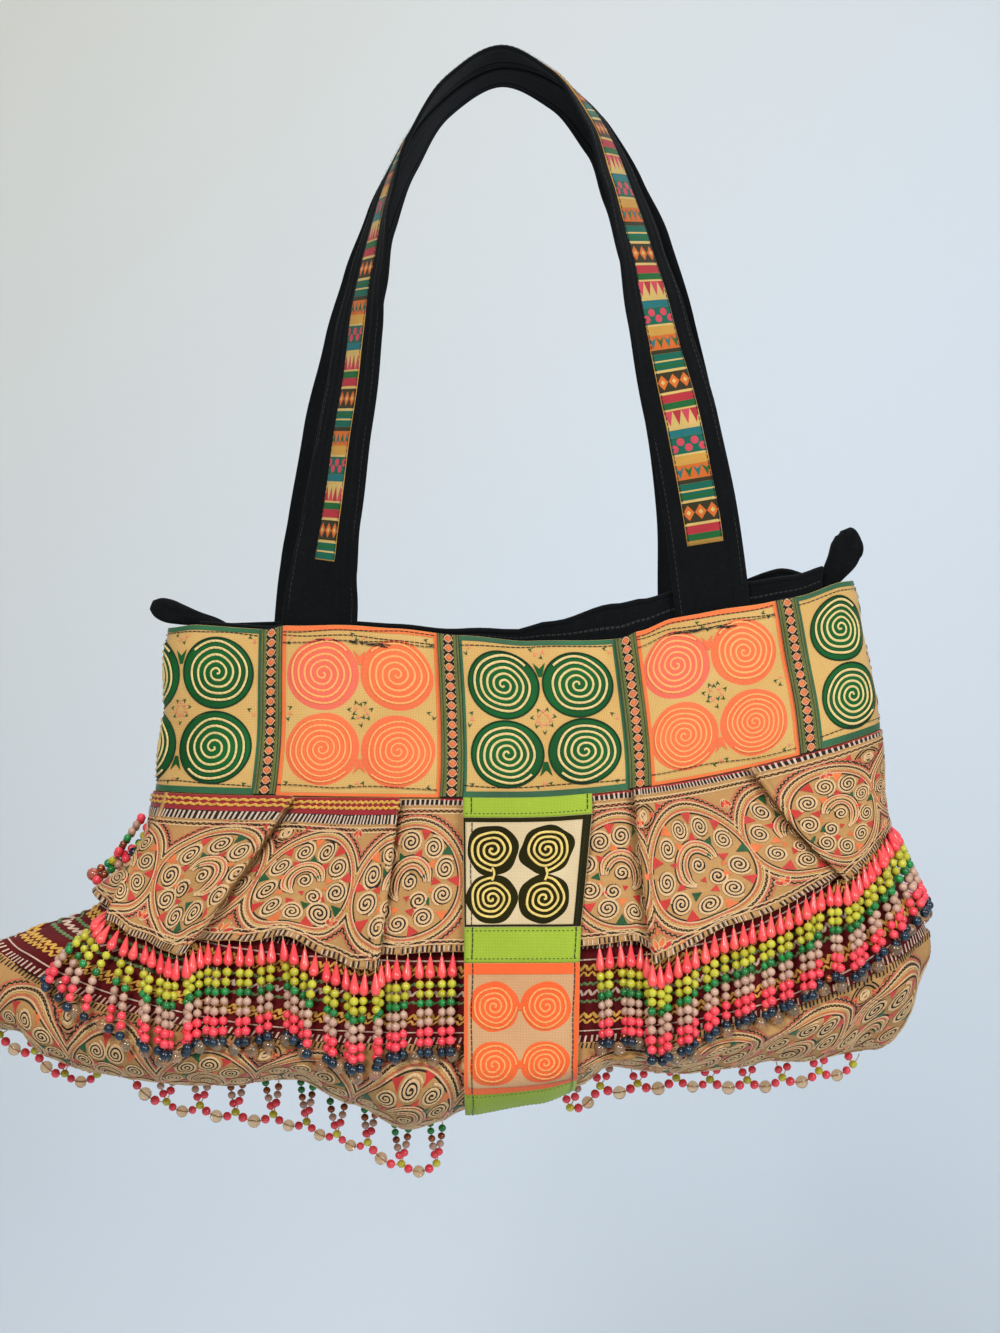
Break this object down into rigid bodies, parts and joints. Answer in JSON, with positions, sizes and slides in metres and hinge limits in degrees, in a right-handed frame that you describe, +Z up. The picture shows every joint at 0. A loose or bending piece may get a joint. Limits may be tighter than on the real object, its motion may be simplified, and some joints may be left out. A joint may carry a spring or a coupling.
{
  "type": "patchwork tote bag",
  "caption": "Soft patchwork shoulder bag with black straps, a band of spiral patches, a pleated embroidered body and hanging bead fringes, open at the top.",
  "frame": {"origin": "underside of the straps' highest point, between the straps, where they rest on a shoulder or a peg", "axes": "+Z up along the bag's height, +X to the right seen from the front, -Y out of the front"},
  "size_m": [0.5373, 0.1661, 0.628],
  "materials": {
    "black_cotton": "matt black cotton twill",
    "spiral_green": "green cotton with couched cream cord",
    "spiral_orange": "salmon orange cotton with couched cord",
    "ribbon": "woven ribbon with small diamonds",
    "embroidered_cloth": "beige cotton with couched cord embroidery",
    "red_braid": "dark red cotton with rows of zigzag braid",
    "lime_cotton": "plain lime cotton",
    "olive_patch": "olive black cotton with couched cream cord",
    "printed_ribbon": "ribbon with a geometric print",
    "beads": "glossy acrylic beads"
  },
  "bodies": {
    "root": {"yoke_strip_1": "ribbon", "yoke_orange_front_left": "spiral_orange", "yoke_strip_2": "ribbon", "yoke_green_front": "spiral_green", "yoke_strip_3": "ribbon", "yoke_orange_front_right": "spiral_orange", "yoke_strip_4": "ribbon", "yoke_green_right": "spiral_green", "yoke_strip_5": "ribbon", "yoke_orange_back_right": "spiral_orange", "yoke_strip_6": "ribbon", "yoke_green_back": "spiral_green", "yoke_strip_7": "ribbon", "yoke_orange_back_left": "spiral_orange", "yoke_strip_8": "ribbon", "yoke_green_left": "spiral_green", "facing_front": "black_cotton", "facing_back": "black_cotton", "end_tab_left": "black_cotton", "end_tab_right": "black_cotton", "strap_front": "black_cotton", "strap_trim_front": "printed_ribbon", "strap_back": "black_cotton", "strap_trim_back": "printed_ribbon", "tier_front": "embroidered_cloth", "tier_back": "embroidered_cloth", "braid_front": "red_braid", "braid_back": "red_braid", "lower_front": "embroidered_cloth", "lower_back": "embroidered_cloth", "panel_lime_top": "lime_cotton", "panel_olive": "olive_patch", "panel_lime_middle": "lime_cotton", "panel_orange": "spiral_orange", "panel_lime_bottom": "lime_cotton", "fringe_left": "beads", "fringe_right": "beads", "net_bottom_left": "beads", "net_bottom_right": "beads", "net_back": "beads"}
  },
  "joints": []
}
